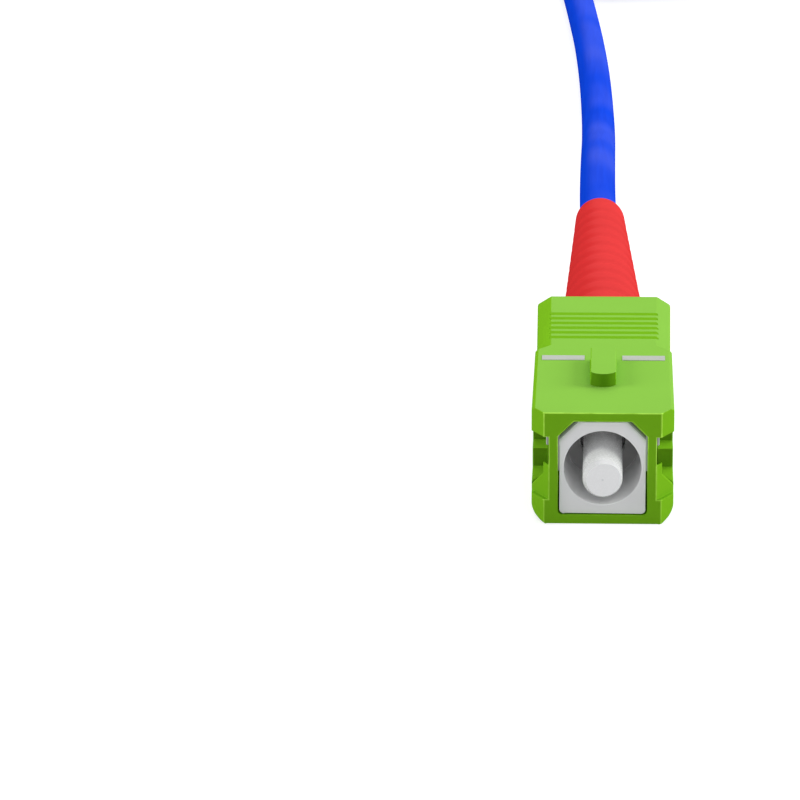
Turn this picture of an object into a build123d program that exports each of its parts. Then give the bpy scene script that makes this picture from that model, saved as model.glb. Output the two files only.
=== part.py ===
from build123d import *
import os
from math import cos, radians, sqrt, tan

# Driving dimensions in millimetres. A name ending in _at is a distance behind the housing's front face.

# Outer housing: front block, slanted waist and grip
housing_length = 25.0
housing_side = 1.675
housing_deck = 0.58
waist_at = 13.1
waist_slope = 0.9
grip_front_inset = 0.1
grip_rear_flare = 0.05
grip_bevel_width = 0.92
grip_bevel_height = 0.58
top_edge_bevel = 0.2
bottom_edge_round = 1.0

# Outer housing: lead-in, rails, side pockets, slots and ramps for the adapter's hooks
lead_in_length = 1.25
lead_in_width = 0.79
rail_height = 1.62
side_wall = 0.75
front_bar_length = 1.0
front_bar_thickness = 0.58
wall_bevel_at = 1.9
wall_bevel_length = 1.4
slot_sill = 0.55
slot_step_height = 1.3
slot_step_length = 1.4
ramp_at = 0.1
ramp_thickness = 0.3
ramp_height = 2.25
ramp_bevel_foot = 0.38
ramp_bevel_top = 1.5

# Key, grip grooves and printed marks
key_width = 1.65
key_height = 0.88
key_at = 5.2
key_length = 5.6
key_nose_radius = 0.9
groove_count = 6
groove_setback = 1.73
groove_pitch = 1.044
groove_width = 0.58
groove_depth = 0.15
groove_length = 7.3
mark_setback = 2.35
mark_length = 0.95
mark_key_gap = 0.405
mark_edge_gap = 0.48
mark_thickness = 0.03

# Plug frame and the way it slides in the housing
plug_side = 0.275
plug_deck = 0.6
plug_corner = 1.0
plug_corner_round = 0.3
plug_shoulder_round = 0.45
plug_recess = 0.15
plug_bore_step = 0.1
plug_bore_depth = 5.35
plug_wall = 0.5
plug_side_gap = 0.1
plug_top_gap = 0.07
slide_travel = 2.0
ear_length = 2.9
ear_height = 2.5
ear_gap = 0.1
lug_height = 0.75
lug_gap = 0.15
snap_window_length = 1.8
snap_window_height = 1.8
snap_gap = 0.1

# Ferrule, flange, fibre and spring
ferrule_diameter = 2.5
ferrule_length = 10.5
ferrule_reach = 2.1
ferrule_hole_gap = 0.2
tip_bevel_width = 0.17
tip_bevel_length = 0.35
polish_angle = 8.0
relief_lead = 0.1
relief_length = 0.6
relief_depth = 0.16
ferrule_travel = 1.2
glass_diameter = 0.125
bond_gap = 0.005
flange_wall = 0.9
flange_flat_wall = 0.65
flange_length = 2.6
flange_gap = 0.1
flange_bore_gap = 0.2
barrel_wall = 0.05
flange_tail = 3.2
buffer_diameter = 0.9
buffer_gap = 0.1
buffer_length = 24.0
buffer_slack = 2.0
spring_length = 6.1
spring_wire = 0.4
spring_inner_gap = 0.2
spring_turns = 5
wire_sides = 6
spring_seat_gap = 0.02

# Stop ring, yarn and crimp sleeve
stop_fit_gap = 0.05
stop_shank_length = 3.2
stop_collar_inset = 0.025
stop_collar_length = 0.8
stop_bore = 1.8
crimp_neck = 3.5
crimp_neck_length = 6.8
neck_ring_count = 4
neck_ring_depth = 0.12
yarn_thickness = 0.27
yarn_gap = 0.02
sleeve_wall = 0.35
sleeve_gap = 0.3
sleeve_tail_length = 5.5
jacket_gap = 0.1

# Boot
boot_gap = 0.15
boot_front_gap = 1.9
boot_wall = 0.5
boot_bore_gap = 0.15
boot_taper_at = 26.0
boot_end_at = 57.7
boot_tip_wall = 0.39
boot_tip_round = 0.8
boot_lip = 0.12
boot_lean = 0.7
boot_lean_at = 26.6
ring_count = 10
ring_at = 29.5
ring_pitch = 2.6
ring_width = 1.5
ring_depth = 0.08
cord_bore_gap = 0.07

# Cord: points along its centre line as (across, behind the front face, height)
cord_diameter = 2.8
cord_end_at = 152.6
cord_straight_at = 69.0
cord_arc_share = 0.45
cord_points = [(-0.6, 93.5, 1.4), (-1.2, 118.0, 1.4), (-2.65, 141.0, 1.4)]

# Hank of the stored length, laid flat: runs along the lead, folds at both ends
hank_at = 148.0
hank_left_run = -3.5
hank_run = 42.0
hank_fold_radius = 8.4
hank_tracks = 2
hank_layers = 3
tie_width = 8.0
tie_thickness = 0.45
tie_round = 0.5
tie_gap = 0.05

# Small-form connector on the cord's far end
lc_width = 4.5
lc_nose_length = 11.0
lc_edge_round = 0.25
lc_bore_wall = 0.7
lc_bore_depth = 2.6
lc_wall = 0.7
lc_ferrule_diameter = 1.25
lc_ferrule_length = 6.4
lc_ferrule_reach = 1.6
lc_tip_bevel = 0.12
lc_hole_gap = 0.25
lc_spring_bore_wall = 0.65
lc_flange_gap = 0.15
lc_flange_length = 1.6
lc_barrel_wall = 0.18
lc_flange_tail = 1.0
lc_spring_gap = 0.275
lc_spring_wire = 0.25
lc_spring_turns = 4
lc_latch_at = 2.4
lc_latch_width = 3.1
lc_latch_rise = 0.95
lc_arm_width = 2.2
lc_arm_thickness = 0.75
lc_arm_end_at = 17.5
lc_arm_end_height = 3.3
lc_tab_diameter = 1.2
lc_tab_width = 2.5
lc_cheek_wall = 0.45
lc_rear_height = 5.3
lc_rear_length = 9.0
lc_rear_round = 1.1
lc_cheek_length = 6.5
lc_cheek_height = 2.6
lc_stub_gap = 0.05
lc_stub_length = 1.6
lc_neck = 2.6
lc_neck_length = 4.0
lc_neck_bore = 1.4
lc_sleeve_wall = 0.3
lc_sleeve_length = 8.0
lc_boot_wall = 0.55
lc_boot_length = 22.0
lc_rest_gap = 0.05

# Places worked out from the sizes above
flange_diameter = ferrule_diameter + 2 * flange_wall
flange_flats = ferrule_diameter + 2 * flange_flat_wall
flange_barrel = ferrule_diameter + 2 * barrel_wall
spring_diameter = flange_barrel + 2 * spring_inner_gap + spring_wire
spring_bore = flange_diameter + 2 * flange_bore_gap
plug_bore = spring_bore + 2 * plug_bore_step
plug_width = plug_bore + 2 * plug_side
plug_height = plug_bore + 2 * plug_deck
opening_width = plug_width + 2 * plug_side_gap
opening_height = plug_height + 2 * plug_top_gap
housing_width = opening_width + 2 * housing_side
housing_height = opening_height + 2 * housing_deck
axis_height = housing_height / 2
grip_front_width = housing_width - 2 * grip_front_inset
grip_rear_width = housing_width + 2 * grip_rear_flare
groove_at = waist_at + waist_slope + groove_setback
mark_at = waist_at - mark_setback
mark_inner_edge = key_width / 2 + mark_key_gap
mark_outer_edge = housing_width / 2 - mark_edge_gap
opening_corner = plug_corner
ear_at = front_bar_length + slide_travel + ear_gap
pocket_end_at = ear_at + ear_length + ear_gap
plug_wall_at = plug_recess + plug_bore_depth
flange_at = plug_wall_at + plug_wall
ferrule_end_at = ferrule_length - ferrule_reach
flange_end_at = ferrule_end_at + flange_tail
spring_at = flange_at + flange_length
stop_at = spring_at + spring_length
plug_end_at = stop_at + stop_shank_length
stop_collar = plug_width - 2 * stop_collar_inset
neck_at = plug_end_at + stop_collar_length
neck_end_at = neck_at + crimp_neck_length
sleeve_at = neck_at + sleeve_gap
jacket_at = boot_lean_at
sleeve_end_at = jacket_at + sleeve_tail_length
boot_at = neck_at + boot_front_gap
rear_bore_at = boot_at - slide_travel - ear_gap
yarn_radius = crimp_neck / 2 + yarn_gap + yarn_thickness
sleeve_inside = yarn_radius + yarn_gap
sleeve_outside = sleeve_inside + sleeve_wall
tail_inside = cord_diameter / 2 + jacket_gap
tail_outside = tail_inside + sleeve_wall
boot_bore = 2 * (sleeve_outside + boot_gap)
boot_base = boot_bore + 2 * boot_wall
boot_cord_bore = cord_diameter + 2 * cord_bore_gap
boot_tip = boot_cord_bore + 2 * boot_tip_wall
buffer_at = ferrule_end_at + spring_wire
buffer_end_at = buffer_at + buffer_length
lead_centre = (boot_end_at - ferrule_reach) / 2

# Hank and far connector, worked out from the cord
outer_fold = hank_fold_radius + (hank_tracks - 1) * cord_diameter
hank_outside = outer_fold + cord_diameter / 2
hank_inside = hank_fold_radius - cord_diameter / 2
hank_height = hank_layers * cord_diameter
hank_centre = hank_left_run + outer_fold
hank_run_at = hank_at + hank_outside
hank_run_end_at = hank_run_at + hank_run
bundle_offset = (outer_fold + hank_fold_radius) / 2
bundle_width = hank_tracks * cord_diameter
lc_place = (hank_centre + bundle_offset, hank_run_end_at, hank_height + lc_rest_gap + lc_rear_height / 2)
lc_bore = lc_width - 2 * lc_bore_wall
lc_spring_bore = lc_width - 2 * lc_spring_bore_wall
lc_flange_diameter = lc_spring_bore - 2 * lc_flange_gap
lc_flange_barrel = lc_ferrule_diameter + 2 * lc_barrel_wall
lc_spring_diameter = lc_spring_bore - 2 * lc_spring_gap - lc_spring_wire
lc_rear_width = lc_width + 2 * (lc_stub_gap + lc_cheek_wall)
lc_sleeve_inside = max(lc_neck / 2 + yarn_gap, tail_inside)
lc_sleeve_outside = lc_sleeve_inside + lc_sleeve_wall
lc_boot_base = 2 * (lc_sleeve_outside + boot_gap + lc_boot_wall)
lc_rear_at = lc_nose_length
lc_rear_end_at = lc_rear_at + lc_rear_length
lc_boot_at = lc_rear_end_at
lc_boot_end_at = lc_boot_at + lc_boot_length
lc_front_at = hank_run_end_at - lc_boot_end_at
lc_flange_at = lc_bore_depth + lc_wall
lc_ferrule_end_at = lc_ferrule_length - lc_ferrule_reach
lc_jacket_at = lc_rear_end_at + lc_neck_length + jacket_gap


def across(at):
    return Plane(origin=(0, at, 0), x_dir=(1, 0, 0), z_dir=(0, -1, 0))


def prism(sketch, start, end):
    return extrude(across(end) * sketch, amount=end - start)


def upright(sketch, bottom, top):
    return extrude(Plane.XY.offset(bottom) * sketch, amount=top - bottom)


def block(x_range, y_range, z_range):
    sizes = [high - low for low, high in (x_range, y_range, z_range)]
    middle = [(low + high) / 2 for low, high in (x_range, y_range, z_range)]
    return Pos(*middle) * Box(*sizes)


def rod(diameter, start, end):
    return prism(Circle(diameter / 2), start, end)


def turned(outline):
    return revolve(make_face(Polyline(*outline, close=True)), axis=Axis.Y)


def both_sides(part):
    return part + mirror(part, about=Plane.YZ)


def on_axis(part):
    return Pos(0, 0, axis_height) * part


def shouldered_outline(width, height, corner, corner_round):
    # Rectangle about the axis with its two top corners cut off and its two bottom corners rounded
    x, z = width / 2, height / 2
    points = [(-x, -z), (x, -z), (x, z - corner), (x - corner, z), (corner - x, z), (-x, z - corner)]
    face = make_face(Polyline(*points, close=True))
    return fillet(face.vertices().group_by(Axis.Y)[0], corner_round)


def housing_section(at, width, top_width, top_height, foot_width, foot_height, rounded):
    half = width / 2
    low_right, high_right = (half - foot_width, 0), (half, foot_height)
    shoulder, top_right = (half, housing_height - top_height), (half - top_width, housing_height)
    right = [low_right, high_right, shoulder, top_right]
    left = [(-x, z) for x, z in reversed(right)]

    def foot(start, end):
        if not rounded:
            return Line(start, end)
        side = 1 if start[0] + end[0] > 0 else -1
        middle = (side * (half - foot_width * (1 - cos(radians(45)))), foot_height * (1 - cos(radians(45))))
        return ThreePointArc(start, middle, end)

    edges = [foot(low_right, high_right), Line(high_right, shoulder), Line(shoulder, top_right)]
    edges += [Line(top_right, left[0]), Line(left[0], left[1]), Line(left[1], left[2])]
    edges += [foot(left[2], left[3]), Line(left[3], low_right)]
    return across(at) * make_face(edges)


def outer_housing():
    front = (housing_width, top_edge_bevel, top_edge_bevel, bottom_edge_round, bottom_edge_round, True)
    grip = (grip_bevel_width, grip_bevel_height, grip_bevel_width, grip_bevel_height, False)
    body = loft(
        [
            housing_section(0, *front),
            housing_section(waist_at, *front),
            housing_section(waist_at + waist_slope, grip_front_width, *grip),
            housing_section(housing_length, grip_rear_width, *grip),
        ],
        ruled=True,
    )
    body += key()
    body -= on_axis(opening())
    body -= both_sides(lead_in()) + both_sides(hook_pocket())
    return body - grip_grooves()


def opening():
    outline = shouldered_outline(opening_width, opening_height, opening_corner, plug_corner_round)
    rear_bore = rod(boot_base + 2 * boot_bore_gap, rear_bore_at, housing_length)
    return prism(outline, 0, rear_bore_at) + rear_bore


def lead_in():
    # Slanted front corner that guides the rails into an adapter
    half = housing_width / 2
    points = [(half - lead_in_width, 0), (half, lead_in_length), (housing_width, lead_in_length)]
    return upright(make_face(Polyline(*points, (housing_width, 0), close=True)), 0, housing_height)


def hook_pocket():
    # Channel between the rails, behind a thin front bar, with a stepped slot out through the side wall
    half = housing_width / 2
    bar, wall = opening_width / 2 + front_bar_thickness, half - side_wall
    ceiling = housing_height - rail_height
    bevel_end_at = wall_bevel_at + wall_bevel_length
    plan = [(bar, 0), (housing_width, 0), (housing_width, wall_bevel_at), (half, wall_bevel_at)]
    step_at, ear_side = pocket_end_at - slot_step_length, bar + ear_gap
    plan += [(wall, bevel_end_at), (wall, step_at), (ear_side, step_at), (ear_side, pocket_end_at)]
    plan += [(0, pocket_end_at), (0, front_bar_length), (bar, front_bar_length)]
    channel = upright(make_face(Polyline(*plan, close=True)), rail_height, ceiling)
    sill, outward = rail_height + slot_sill, (bar, housing_width)
    slot = block(outward, (0, step_at), (sill, ceiling))
    slot += block(outward, (0, pocket_end_at), (sill + slot_step_height, ceiling))
    return channel + slot - hook_ramp(bar, wall, half)


def hook_ramp(bar, wall, half):
    # Ramp beside the front bar, slanted like the lead-in, with its outer corner cut away above the rail
    outer_at = ramp_at + (half - bar) * lead_in_length / lead_in_width
    plan = [(bar, ramp_at), (half, outer_at), (half, outer_at + ramp_thickness)]
    plan += [(bar, ramp_at + ramp_thickness)]
    ramp = upright(make_face(Polyline(*plan, close=True)), rail_height, rail_height + ramp_height)
    foot, top = rail_height + ramp_bevel_foot, rail_height + ramp_bevel_top
    corner = [(half, foot), (wall, top), (wall, housing_height), (half, housing_height)]
    cut = extrude(Plane.XZ * make_face(Polyline(*corner, close=True)), amount=housing_length, both=True)
    return ramp - cut


def key():
    half = key_width / 2
    nose = key_nose_radius - sqrt(key_nose_radius**2 - half**2)
    left, right = (-half, key_at + nose), (half, key_at + nose)
    end_left, end_right = (-half, key_at + key_length), (half, key_at + key_length)
    edges = [ThreePointArc(left, (0, key_at), right), Line(right, end_right)]
    edges += [Line(end_right, end_left), Line(end_left, left)]
    return upright(make_face(edges), housing_height - key_height / 2, housing_height + key_height)


def grip_grooves():
    # V-shaped grooves across the top and the underside
    grooves = Part()
    for index in range(groove_count):
        middle = groove_at + index * groove_pitch
        start, end = middle - groove_width, middle + groove_width
        for face, depth in ((0, groove_depth), (housing_height, -groove_depth)):
            outline = [(start, face - depth), (middle, face + depth), (end, face - depth)]
            vee = make_face(Polyline(*outline, close=True))
            grooves += extrude(Plane.YZ * vee, amount=groove_length / 2, both=True)
    return grooves


def insertion_marks():
    x_range = (mark_inner_edge, mark_outer_edge)
    z_range = (housing_height, housing_height + mark_thickness)
    return both_sides(block(x_range, (mark_at, mark_at + mark_length), z_range))


def plug_frame():
    outline = shouldered_outline(plug_width, plug_height, plug_corner, plug_corner_round)
    body = prism(outline, plug_recess, plug_end_at)
    front_edges = body.edges().group_by(Axis.Y)[0].filter_by(GeomType.LINE)
    body = fillet(front_edges.filter_by(is_slanted), plug_shoulder_round) + both_sides(latch_ear())
    body -= rod(plug_bore, plug_recess, plug_wall_at)
    body -= rod(ferrule_diameter + 2 * ferrule_hole_gap, plug_wall_at, flange_at)
    flat_bore = Circle(spring_bore / 2) & Rectangle(flange_flats + 2 * flange_gap, spring_bore)
    flats_end_at = spring_at + ferrule_travel + flange_gap
    body -= prism(flat_bore, flange_at, flats_end_at) + rod(spring_bore, flats_end_at, plug_end_at)
    window_at = snap_window_at()
    high = snap_window_height / 2
    y_range = (window_at, window_at + snap_window_length)
    return body - block((-plug_width, plug_width), y_range, (-high, high))


def is_slanted(edge):
    along = edge.end_point() - edge.start_point()
    return min(abs(along.X), abs(along.Z)) > plug_corner / 2


def latch_ear():
    # Shoulder that the adapter's hook catches, with a taller lug along its upper edge
    wall = housing_width / 2 - side_wall
    bar = opening_width / 2 + front_bar_thickness
    y_range = (ear_at, ear_at + ear_length)
    high = ear_height / 2
    shoulder = block((plug_bore / 2, bar), y_range, (-high, high))
    return shoulder + block((plug_bore / 2, wall - lug_gap), y_range, (high - lug_height, high))


def snap_window_at():
    return (stop_at + plug_end_at - snap_window_length) / 2


def ferrule():
    # The bevel runs on ahead of the tip, so that the slanted polish cuts right across it
    radius = ferrule_diameter / 2
    stock = ferrule_diameter * tan(radians(polish_angle))
    narrow = radius - tip_bevel_width * (1 + stock / tip_bevel_length)
    front = -ferrule_reach - stock
    outline = [(0, front), (narrow, front), (radius, tip_bevel_length - ferrule_reach)]
    outline += relief(radius, plug_wall_at) + [(radius, ferrule_end_at), (0, ferrule_end_at)]
    return turned(outline) - rod(glass_diameter + 2 * bond_gap, front, ferrule_end_at) - polish_cut()


def relief(radius, wall_at):
    # Groove inside the wall's hole, between a ferrule's free end and its seat in the flange
    start = wall_at - relief_lead
    end = start + relief_length
    narrow = radius - relief_depth
    return [(radius, start), (narrow, start), (narrow, end), (radius, end)]


def polish_cut():
    # Everything ahead of the slanted end face, which meets the axis at the tip
    return Pos(0, -ferrule_reach, 0) * Rot(0, 0, polish_angle) * Pos(0, -flange_diameter / 2, 0) * Box(
        flange_diameter, flange_diameter, flange_diameter
    )


def glass_fibre():
    return rod(glass_diameter, -ferrule_reach - glass_diameter, buffer_at) - polish_cut()


def ferrule_flange():
    collar = Circle(flange_diameter / 2) & Rectangle(flange_flats, flange_diameter)
    body = prism(collar, flange_at, spring_at) + rod(flange_barrel, spring_at, flange_end_at)
    body -= rod(ferrule_diameter + 2 * bond_gap, flange_at, ferrule_end_at)
    return body - rod(buffer_diameter + 2 * buffer_gap, ferrule_end_at, flange_end_at)


def coil_spring(start, length, diameter, wire, turns):
    rise = length - wire - 2 * spring_seat_gap
    first = (0, start + wire / 2 + spring_seat_gap, 0)
    path = Helix(rise / turns, rise, diameter / 2, center=first, direction=(0, 1, 0))
    section = Plane(origin=path @ 0, z_dir=path % 0) * RegularPolygon(wire / 2, wire_sides)
    return sweep(section, path=path, is_frenet=True)


def ferrule_spring():
    return coil_spring(spring_at, spring_length, spring_diameter, spring_wire, spring_turns)


def buffered_fibre():
    return rod(buffer_diameter, buffer_at, buffer_end_at)


def stop_ring():
    inside, shank = stop_bore / 2, spring_bore / 2 - stop_fit_gap
    collar, neck = stop_collar / 2, crimp_neck / 2
    outline = [(inside, stop_at), (shank, stop_at), (shank, plug_end_at), (collar, plug_end_at)]
    outline += [(collar, neck_at), (neck, neck_at)]
    pitch = crimp_neck_length / neck_ring_count
    for index in range(neck_ring_count):
        ring_middle = neck_at + (index + 0.5) * pitch
        outline += [(neck, ring_middle - pitch / 4), (neck - neck_ring_depth, ring_middle)]
        outline += [(neck, ring_middle + pitch / 4)]
    body = turned(outline + [(neck, neck_end_at), (inside, neck_end_at)])
    window_at = snap_window_at()
    y_range = (window_at + snap_gap, window_at + snap_window_length - snap_gap)
    high = snap_window_height / 2 - snap_gap
    x_range = (inside + stop_fit_gap, plug_width / 2 - snap_gap)
    return body + both_sides(block(x_range, y_range, (-high, high)))


def aramid_yarn():
    inside = crimp_neck / 2 + yarn_gap
    ring = Circle(yarn_radius) - Circle(inside)
    return prism(ring, sleeve_at, neck_end_at)


def crimp_sleeve():
    outline = [(sleeve_inside, sleeve_at), (sleeve_outside, sleeve_at), (sleeve_outside, neck_end_at)]
    outline += [(tail_outside, jacket_at), (tail_outside, sleeve_end_at), (tail_inside, sleeve_end_at)]
    return turned(outline + [(tail_inside, jacket_at), (sleeve_inside, neck_end_at)])


def leaned(part):
    pivot = Pos(0, boot_lean_at, 0)
    return pivot * Rot(0, 0, boot_lean) * pivot.inverse() * part


def boot():
    tip_at = boot_end_at - boot_tip_round
    base, tip = boot_base / 2, boot_tip / 2

    def radius(at):
        return base + (tip - base) * (at - boot_taper_at) / (tip_at - boot_taper_at)

    bore_wide, bore_cord = boot_bore / 2, boot_cord_bore / 2
    bore_tail = tail_outside + boot_gap
    outline = [(bore_wide, boot_at), (base, boot_at), (base, boot_taper_at)]
    for index in range(ring_count):
        middle = ring_at + index * ring_pitch
        start, end = middle - ring_width / 2, middle + ring_width / 2
        outline += [(radius(start), start), (radius(middle) - ring_depth, middle), (radius(end), end)]
    outline += [(tip, tip_at), (tip - boot_lip, boot_end_at)]
    outline += [(bore_cord, boot_end_at), (bore_cord, sleeve_end_at + boot_gap)]
    outline += [(bore_tail, sleeve_end_at + boot_gap), (bore_tail, jacket_at + boot_gap)]
    return leaned(turned(outline + [(bore_wide, neck_end_at + boot_gap)]))


def cord_tube(name, points):
    # Straight runs joined by arcs as large as the shorter of the two runs allows
    corners = [Vector(point) for point in points]
    radii = []
    for before, corner, after in zip(corners, corners[1:], corners[2:]):
        turn = (corner - before).get_angle(after - corner)
        shorter = min((corner - before).length, (after - corner).length)
        radii.append(cord_arc_share * shorter / tan(radians(turn / 2)))
    path = FilletPolyline(*corners, radius=radii)
    tube = sweep(Plane(origin=path @ 0, z_dir=path % 0) * Circle(cord_diameter / 2), path=path)
    section = Circle(cord_diameter / 2).area
    print(f"{name}: radii {[round(value, 1) for value in radii]}, length {path.length:.1f}")
    print(f"{name}: volume {tube.volume:.1f}, section times length {section * path.length:.1f}")
    return tube


def cord():
    aside = -(cord_straight_at - boot_lean_at) * tan(radians(boot_lean))
    points = [(0, jacket_at, axis_height), (aside, cord_straight_at, axis_height)]
    points += cord_points + [(hank_left_run, cord_end_at, cord_diameter / 2)]
    socket = leaned(rod(buffer_diameter + 4 * buffer_gap, jacket_at, buffer_end_at + buffer_slack))
    return cord_tube("cord", points) - on_axis(socket)


def stadium(radius):
    return Rot(0, 0, 90) * SlotCenterToCenter(hank_run, 2 * radius)


def cord_hank():
    # The turns rise a little over the strap that goes under one bundle
    ring = upright(stadium(hank_outside) - stadium(hank_inside), 0, hank_height)
    middle = (hank_run_at + hank_run_end_at) / 2
    y_range = (middle - tie_width / 2 - tie_gap, middle + tie_width / 2 + tie_gap)
    dip = block((hank_left_run - cord_diameter, hank_centre), y_range, (0, tie_thickness + tie_gap))
    return Pos(hank_centre, middle, 0) * ring - dip


def hank_tie():
    inside = (bundle_width + 2 * tie_gap, hank_height - tie_thickness + tie_gap)
    outside = [size + 2 * tie_thickness for size in inside]
    band = RectangleRounded(*outside, tie_round) - Rectangle(*inside)
    place = Pos(hank_centre - bundle_offset, 0, outside[1] / 2)
    middle = (hank_run_at + hank_run_end_at) / 2
    return place * prism(band, middle - tie_width / 2, middle + tie_width / 2)


def cord_tail():
    x, y, height = lc_place
    left = hank_centre - bundle_offset
    level = hank_height + cord_diameter / 2 + lc_rest_gap
    corner = bundle_offset * tan(radians(22.5))
    far = hank_run_end_at + bundle_offset
    rise = (height - level) / 3
    points = [(left, hank_run_end_at - corner, level), (left, hank_run_end_at + corner, level)]
    points += [(hank_centre - corner, far, level + rise), (hank_centre + corner, far, level + 2 * rise)]
    points += [(x, hank_run_end_at + corner, height), (x, lc_front_at + lc_jacket_at, height)]
    return cord_tube("cord tail", points)


def on_far_end(part):
    return Pos(lc_place[0], lc_front_at, lc_place[2]) * part


def lc_plug_body():
    half = lc_width / 2
    nose = Pos(0, lc_nose_length / 2, 0) * Box(lc_width, lc_nose_length, lc_width)
    nose = fillet(nose.edges().filter_by(Axis.Y), lc_edge_round)
    nose -= rod(lc_bore, 0, lc_bore_depth)
    nose -= rod(lc_ferrule_diameter + 2 * lc_hole_gap, lc_bore_depth, lc_flange_at)
    nose -= rod(lc_spring_bore, lc_flange_at, lc_nose_length)
    return nose + lc_latch(half)


def lc_latch(deck):
    # Sprung arm: a block rooted on the nose, a rising tongue and a rolled thumb tab
    root_end = lc_latch_at + lc_latch_width
    top = deck + lc_latch_rise
    tip = deck + lc_arm_end_height
    thick = lc_arm_thickness
    root = [(lc_latch_at, deck - lc_edge_round), (lc_latch_at, top), (root_end, top + thick / 2)]
    root += [(root_end, top - thick), (lc_latch_at + thick, deck)]
    root += [(lc_latch_at + thick, deck - lc_edge_round)]
    arm = [(root_end - thick, top), (lc_arm_end_at, tip), (lc_arm_end_at, tip - thick)]
    arm += [(root_end - thick, top - thick)]
    side = Plane.YZ
    body = extrude(side * make_face(Polyline(*root, close=True)), amount=lc_latch_width / 2, both=True)
    body += extrude(side * make_face(Polyline(*arm, close=True)), amount=lc_arm_width / 2, both=True)
    tab = Rot(0, 90, 0) * Cylinder(lc_tab_diameter / 2, lc_tab_width)
    return body + Pos(0, lc_arm_end_at, tip - thick / 2) * tab


def lc_rear_body():
    middle = (lc_rear_at + lc_rear_end_at) / 2
    body = Pos(0, middle, 0) * Box(lc_rear_width, lc_rear_length, lc_rear_height)
    body = fillet(body.edges().filter_by(Axis.Y), lc_rear_round)
    cheek_range = (lc_rear_at - lc_cheek_length, lc_rear_at)
    low = -lc_rear_height / 2 + lc_rear_round
    inner = lc_width / 2 + lc_stub_gap
    body += both_sides(block((inner, lc_rear_width / 2), cheek_range, (low, low + lc_cheek_height)))
    body += rod(lc_spring_bore - 2 * lc_stub_gap, lc_rear_at - lc_stub_length, lc_rear_at)
    body += rod(lc_neck, lc_rear_end_at, lc_rear_end_at + lc_neck_length)
    return body - rod(lc_neck_bore, lc_rear_at - lc_stub_length, lc_rear_end_at + lc_neck_length)


def lc_ferrule():
    radius = lc_ferrule_diameter / 2
    tip = -lc_ferrule_reach
    outline = [(0, tip), (radius - lc_tip_bevel, tip), (radius, tip + lc_tip_bevel)]
    outline += relief(radius, lc_bore_depth)
    return turned(outline + [(radius, lc_ferrule_end_at), (0, lc_ferrule_end_at)])


def lc_flange():
    collar, barrel = lc_flange_diameter / 2, lc_flange_barrel / 2
    shoulder = lc_flange_at + lc_flange_length
    body = turned([(0, lc_flange_at), (collar, lc_flange_at), (collar, shoulder), (barrel, shoulder),
                   (barrel, shoulder + lc_flange_tail), (0, shoulder + lc_flange_tail)])
    return body - rod(lc_ferrule_diameter + 2 * bond_gap, lc_flange_at, lc_ferrule_end_at)


def lc_spring():
    start = lc_flange_at + lc_flange_length
    length = lc_rear_at - lc_stub_length - start
    return coil_spring(start, length, lc_spring_diameter, lc_spring_wire, lc_spring_turns)


def lc_crimp_sleeve():
    ring = Circle(lc_sleeve_outside) - Circle(lc_sleeve_inside)
    return prism(ring, lc_rear_end_at, lc_rear_end_at + lc_sleeve_length)


def lc_boot():
    sleeve, bore = lc_sleeve_outside + boot_gap, boot_cord_bore / 2
    sleeve_end = lc_rear_end_at + lc_sleeve_length + boot_gap
    base, tip = lc_boot_base / 2, boot_tip / 2
    tip_at = lc_boot_end_at - boot_tip_round / 2
    outline = [(sleeve, lc_boot_at), (base, lc_boot_at), (tip, tip_at), (tip - boot_lip, lc_boot_end_at)]
    return turned(outline + [(bore, lc_boot_end_at), (bore, sleeve_end), (sleeve, sleeve_end)])


pieces = {
    "outer_housing": outer_housing(),
    "insertion_marks": insertion_marks(),
    "plug_frame": on_axis(plug_frame()),
    "ferrule": on_axis(ferrule()),
    "glass_fibre": on_axis(glass_fibre()),
    "ferrule_flange": on_axis(ferrule_flange()),
    "ferrule_spring": on_axis(ferrule_spring()),
    "buffered_fibre": on_axis(buffered_fibre()),
    "stop_ring": on_axis(stop_ring()),
    "aramid_yarn": on_axis(aramid_yarn()),
    "crimp_sleeve": on_axis(crimp_sleeve()),
    "boot": on_axis(boot()),
    "cord": cord(),
    "cord_hank": cord_hank(),
    "hank_tie": hank_tie(),
    "cord_tail": cord_tail(),
    "lc_plug_body": on_far_end(lc_plug_body()),
    "lc_rear_body": on_far_end(lc_rear_body()),
    "lc_ferrule": on_far_end(lc_ferrule()),
    "lc_flange": on_far_end(lc_flange()),
    "lc_spring": on_far_end(lc_spring()),
    "lc_crimp_sleeve": on_far_end(lc_crimp_sleeve()),
    "lc_boot": on_far_end(lc_boot()),
}

os.makedirs("parts", exist_ok=True)
for name, piece in pieces.items():
    export_step(Pos(0, -lead_centre, 0) * piece, f"parts/{name}.step")
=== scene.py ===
from math import cos, radians, sin, tau

import bmesh
import bpy
from mathutils import Matrix, Vector


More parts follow.
